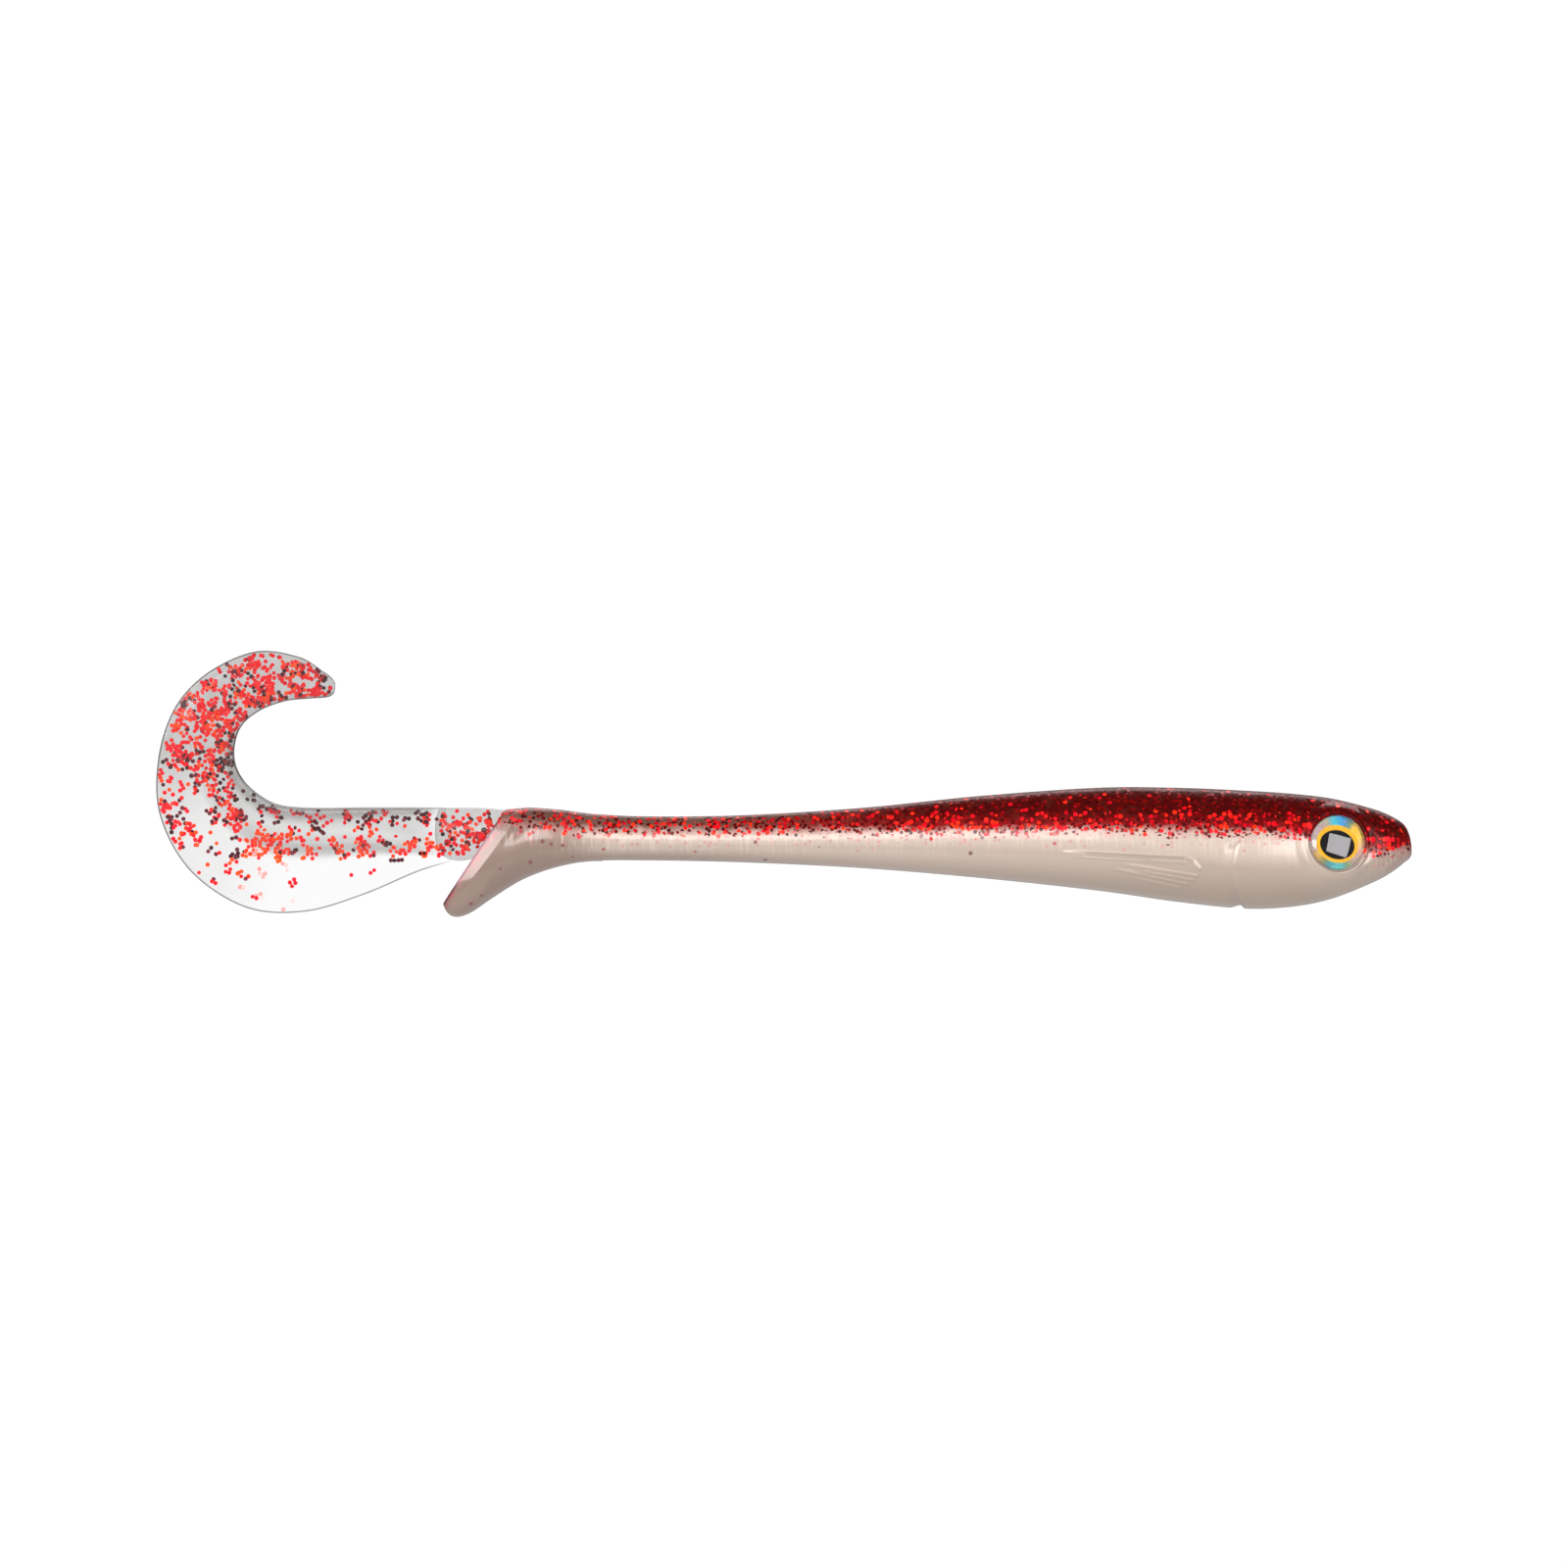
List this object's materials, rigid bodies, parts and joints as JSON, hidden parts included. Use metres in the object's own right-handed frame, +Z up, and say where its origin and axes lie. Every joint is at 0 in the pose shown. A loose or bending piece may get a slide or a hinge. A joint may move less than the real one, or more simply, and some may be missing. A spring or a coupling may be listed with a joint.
{
  "type": "soft plastic curl tail bait",
  "caption": "Soft minnow-shaped fishing bait with a two-colour body, domed stick-on eyes, a slanted paddle fin and a clear glittered sickle tail that flexes.",
  "frame": {"origin": "middle of the small flat face at the tip of the nose", "axes": "+X points ahead of the nose along the body, +Z is up towards the back in the swimming attitude, +Y is the bait's left"},
  "size_m": [0.1537, 0.0108, 0.0327],
  "materials": {
    "pearl_plastisol": "satin pearl, slightly translucent",
    "glitter_back_plastisol": "glossy dark red with red and orange glitter",
    "paddle_plastisol": "glossy, pearl under sparse glitter",
    "clear_plastisol": "glossy clear with red glitter",
    "eye_foil": "holographic foil with a black pupil",
    "eye_dome": "clear polished epoxy",
    "eye_pad": "matt white adhesive foam"
  },
  "bodies": {
    "head": {"head_belly": "pearl_plastisol", "head_back": "glitter_back_plastisol", "eye_pad_left": "eye_pad", "eye_pad_right": "eye_pad", "eye_foil_left": "eye_foil", "eye_foil_right": "eye_foil", "eye_dome_left": "eye_dome", "eye_dome_right": "eye_dome"},
    "stem": {"stem_belly": "pearl_plastisol", "stem_back": "glitter_back_plastisol"},
    "paddle": {"paddle_fin": "paddle_plastisol", "tail_root": "clear_plastisol"},
    "tail": {"tail_blade": "clear_plastisol"},
    "tip": {"tail_tip": "clear_plastisol"}
  },
  "joints": [
    {"name": "body_flex", "type": "hinge", "parent": "head", "child": "stem", "pos_m": [-0.0612, 0, 0], "axis": [0, 0, 1], "range_deg": [-25, 25], "stiffness_Nm_per_rad": 0.0004},
    {"name": "peduncle_flex", "type": "hinge", "parent": "stem", "child": "paddle", "pos_m": [-0.103, 0, 0], "axis": [0, 0, 1], "range_deg": [-25, 25], "stiffness_Nm_per_rad": 0.0002},
    {"name": "tail_root_flex", "type": "hinge", "parent": "paddle", "child": "tail", "pos_m": [-0.1165, 0, 0], "axis": [0, 0, 1], "range_deg": [-40, 40], "stiffness_Nm_per_rad": 0.0001},
    {"name": "tail_tip_flex", "type": "hinge", "parent": "tail", "child": "tip", "pos_m": [-0.1488, 0, 0.0117], "axis": [1, 0, 0], "range_deg": [-45, 45], "stiffness_Nm_per_rad": 0.00008}
  ]
}
